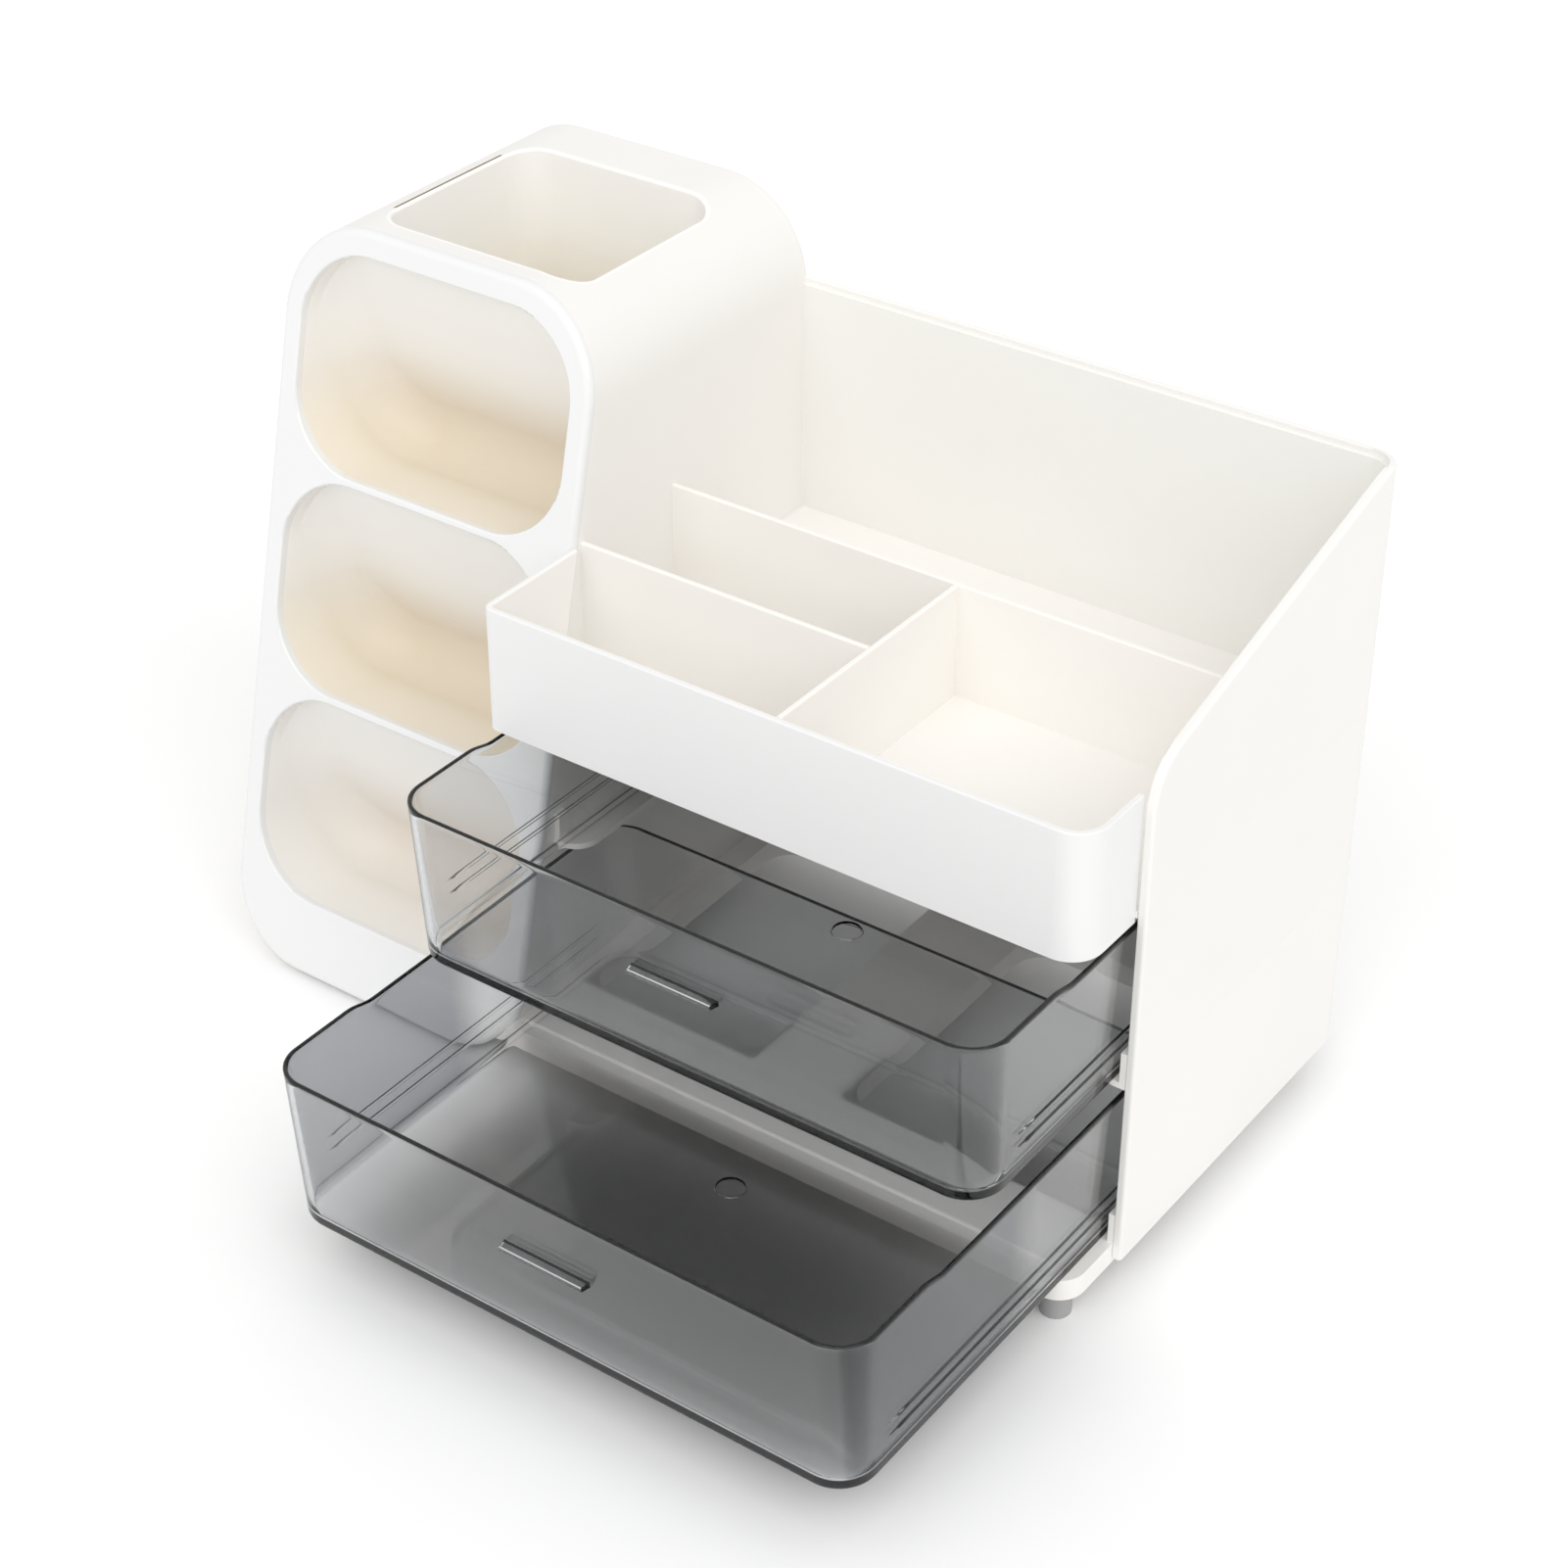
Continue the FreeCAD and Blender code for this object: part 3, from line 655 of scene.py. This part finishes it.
def drawer_rows():
    """Rows of the wall's profile, from the underside out, up, over the rim and down to the inner floor:
    height, distance in from the outer wall, share of a rib, share of the grip and share of the rim's drop."""
    rows = [(0, outer_bend + 2 * hair, 0, 0, 0)]
    for angle in np.linspace(0, np.pi / 2, bend_rows):
        rows.append((outer_bend * (1 - math.cos(angle)), outer_bend * (1 - math.sin(angle)), 0, 0, 0))
    rows.append((outer_bend + 2 * hair, 0, 0, 0, 0))
    rows.append((lowest_row, 0, 0, 0, 0))
    for low in rib_heights:
        for height, share in ridge_rows(low, low + rib_tall, rib_shoulder):
            rows.append((height, 0, share, 0, 0))
    for height in outer_rows:
        rows.append((height, 0, 0, 0, 0))
    for height, share in ridge_rows(grip_low, grip_high, grip_shoulder):
        rows.append((height, 0, 0, share, 0))
    for height, drop in drop_rows:
        rows.append((height, 0, 0, 0, drop))
    round_over = drawer_high_wall / 2
    for angle in np.linspace(0, np.pi, rim_rows):
        rows.append((drawer_tall - round_over + round_over * math.sin(angle),
                     round_over * (1 - math.cos(angle)), 0, 0, 1))

    def inner(height):
        return drawer_low_wall + (drawer_high_wall - drawer_low_wall) * height / drawer_tall

    for height, drop in (*drop_rows[::-1], *inner_rows):
        rows.append((height, inner(height), 0, 0, drop))
    for angle in np.linspace(0, np.pi / 2, bend_rows):
        height = drawer_floor + inner_bend * (1 - math.sin(angle))
        rows.append((height, inner(height) + inner_bend * (1 - math.cos(angle)), 0, 0, 0))
    rows.append((drawer_floor, inner(drawer_floor) + inner_bend + 2 * hair, 0, 0, 0))
    return np.array(rows)


def drawer_points(middle, front, bottom):
    """All points, as rows by columns: a point is its column's arc centre, moved in by the wall's lean, plus
    the corner radius less the row's inward distance along the column's direction, plus ribs and grip. More
    rows run level from the first and last of these in towards the round gate mark."""
    cx, cy, nx, ny = drawer_columns()
    height, inward, rib, grip, drop = (column[:, None] for column in drawer_rows().T)
    half = drawer_rim_width / 2 - drawer_corner
    near = drawer_corner
    far = drawer_rim_depth - drawer_corner
    lean = 1 - height / drawer_tall
    on_side = np.abs(nx) > square_on
    on_front = ny < -square_on
    rib_share = on_side * smooth_step(cy, rib_from, rib_from + 2 * hair)
    rib_share = rib_share * (1 - smooth_step(cy, far - rib_end[0], far - rib_end[1]))
    grip_share = on_front * (1 - smooth_step(np.abs(cx), grip_half - ridge_round, grip_half + ridge_edge))
    behind = np.where(ny > 0.5, 1.0, smooth_step(cy, rim_drop_from, rim_drop_to))
    out = drawer_corner - inward + rib * rib_depth * rib_share + grip * grip_stand * grip_share
    x = cx * (half - lean * drawer_side_lean) / half + out * nx
    y = cy + lean * drawer_front_lean * (far - cy) / (far - near) + out * ny
    z = height - drop * rim_drop * behind + 0 * x
    wall = np.stack([x, y, z], axis=2)
    centre = np.array([0, gate_place])
    aim = wall[0, :, :2] - centre
    aim = aim / np.linalg.norm(aim, axis=1)[:, None]

    def ring_row(radius, level):
        return np.column_stack([centre + aim * radius, np.full(len(aim), level)])

    def level_row(edge, share, level):
        ring = centre + aim * (gate_radius + gate_clear)
        return np.column_stack([edge[:, :2] * (1 - share) + ring * share, np.full(len(aim), level)])

    under = [level_row(wall[0], share, 0) for share in floor_rows[::-1]]
    above = [level_row(wall[-1], share, drawer_floor) for share in floor_rows]
    above += [ring_row(gate_radius + wider, drawer_floor + higher) for wider, higher in gate_ring]
    above += [ring_row(gate_radius - ridge_edge, drawer_floor - gate_depth * 0.9),
              ring_row(gate_radius - gate_dish, drawer_floor - gate_depth),
              ring_row(gate_radius * 0.5, drawer_floor - gate_depth)]
    points = np.concatenate([np.array(under), wall, np.array(above)])
    return points + np.array([middle, front, bottom])


def closed_skin(name, points):
    """Closed mesh from rows by columns of points that run anticlockwise: quads between the rows and a fan
    of triangles to the middle of the first and of the last row."""
    rows, columns, _ = points.shape
    index = np.arange(rows * columns).reshape(rows, columns)
    after = np.roll(index, -1, axis=1)
    quads = np.stack([index[:-1], after[:-1], after[1:], index[1:]], axis=2).reshape(-1, 4)
    first = rows * columns
    last = first + 1
    low_fan = np.column_stack([np.full(columns, first), after[0], index[0]])
    high_fan = np.column_stack([index[-1], after[-1], np.full(columns, last)])
    middles = np.array([points[0].mean(axis=0), points[-1].mean(axis=0)])
    corners = np.concatenate([points.reshape(-1, 3), middles])
    mesh = bpy.data.meshes.new(name)
    mesh.from_pydata(corners.tolist(), [], quads.tolist() + low_fan.tolist() + high_fan.tolist())
    mesh.polygons.foreach_set("use_smooth", np.ones(len(mesh.polygons), dtype=bool))
    mesh.validate()
    mesh.set_sharp_from_angle(angle=crisp_angle)
    mesh.update()
    piece = bpy.data.objects.new(name, mesh)
    bpy.context.collection.objects.link(piece)
    return piece


def polish_surface(tree):
    """Polish that wanders between two small roughnesses, over a surface with a faint broad swell."""
    shader = tree.nodes["Principled BSDF"]
    polish = rescale(tree, cloud(tree, *polish_noise), polish_span, polish_roughness)
    swell = tree.nodes.new("ShaderNodeBump")
    swell.inputs["Strength"].default_value = swell_strength
    swell.inputs["Distance"].default_value = swell_height
    tree.links.new(cloud(tree, *swell_noise), swell.inputs["Height"])
    tree.links.new(polish, shader.inputs["Roughness"])
    tree.links.new(swell.outputs["Normal"], shader.inputs["Normal"])


def painted_side_shade_part(tree):
    """Socket that is 1 where the painted shade lies: in the sides of the lower drawer where they stand out in
    front.
    """
    x, y, z = place_parts(tree)
    aside = arithmetic(tree, "ABSOLUTE", arithmetic(tree, "SUBTRACT", x, drawer_middle))
    at_side = ramp(tree, aside, side_shade_aside - side_shade_edge, side_shade_aside)
    in_front = ramp(tree, y, side_shade_before + side_shade_fade, side_shade_before - side_shade_fade)
    of_lower = ramp(tree, z, side_shade_below + side_shade_edge / 2, side_shade_below)
    return arithmetic(tree, "MULTIPLY", at_side, arithmetic(tree, "MULTIPLY", in_front, of_lower))


def shading_part(tree):
    """Socket that is 1 in the parts of the lower drawer's floor that lie over the bare table: in front of
    the base frame and over its two windows."""
    x, y, z = place_parts(tree)
    over_window = band(tree, y, window_front, window_rear, window_fade)
    left, right = (band(tree, x, start, end, window_fade) for start, end in window_sides)
    over_window = arithmetic(tree, "MULTIPLY", over_window, arithmetic(tree, "MAXIMUM", left, right))
    forward = ramp(tree, y, shaded_before + shaded_fade, shaded_before - shaded_fade)
    over_table = arithmetic(tree, "MAXIMUM", over_window, forward)
    in_floor = ramp(tree, z, shaded_below + shaded_edge, shaded_below)
    return arithmetic(tree, "MULTIPLY", over_table, in_floor)


def smoked_clear_plastic():
    """Polished clear plastic that darkens with the length of the way through it, and more where a painted
    shade darkens the front of the lower drawer's sides. Light passes straight through, dimmed a little by
    each wall and much more by the shading part, which leaves the table under the lower drawer in deep shade."""
    material = bpy.data.materials.new("smoked_clear_plastic")
    material.use_nodes = True
    tree = material.node_tree
    shader = tree.nodes["Principled BSDF"]
    shader.inputs["IOR"].default_value = clear_refraction
    shader.inputs["Transmission Weight"].default_value = 1.0
    polish_surface(tree)
    # Painted shade on the front of the lower drawer's sides.
    colour = two_colours(tree, painted_side_shade_part(tree), clear_colour, painted_side_shade)
    shade = two_colours(tree, shading_part(tree), wall_shade, floor_shade)
    absorb = tree.nodes.new("ShaderNodeVolumeAbsorption")
    absorb.inputs["Color"].default_value = (*smoke_tint, 1)
    absorb.inputs["Density"].default_value = smoke_density
    path = tree.nodes.new("ShaderNodeLightPath")
    soft_ray = arithmetic(tree, "MAXIMUM", path.outputs["Is Shadow Ray"], path.outputs["Is Diffuse Ray"])
    straight = tree.nodes.new("ShaderNodeBsdfTransparent")
    mix = tree.nodes.new("ShaderNodeMixShader")
    output = tree.nodes["Material Output"]
    tree.links.new(colour, shader.inputs["Base Color"])
    tree.links.new(shade, straight.inputs["Color"])
    tree.links.new(soft_ray, mix.inputs[0])
    tree.links.new(shader.outputs[0], mix.inputs[1])
    tree.links.new(straight.outputs[0], mix.inputs[2])
    tree.links.new(mix.outputs[0], output.inputs["Surface"])
    tree.links.new(absorb.outputs[0], output.inputs["Volume"])
    return material


clear_plastic = smoked_clear_plastic()
dress(clear_plastic, "upper_drawer", "lower_drawer")

for drawer_name in ("upper_drawer", "lower_drawer"):
    box_low, box_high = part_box(drawer_name)
    skin_points = drawer_points((box_low[0] + box_high[0]) / 2, box_low[1] + grip_reach, box_low[2])
    drawer_skin = closed_skin(drawer_name + "_moulding", skin_points)
    drawer_skin.data.materials.append(clear_plastic)
    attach(drawer_skin, drawer_name)
    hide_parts(drawer_name)
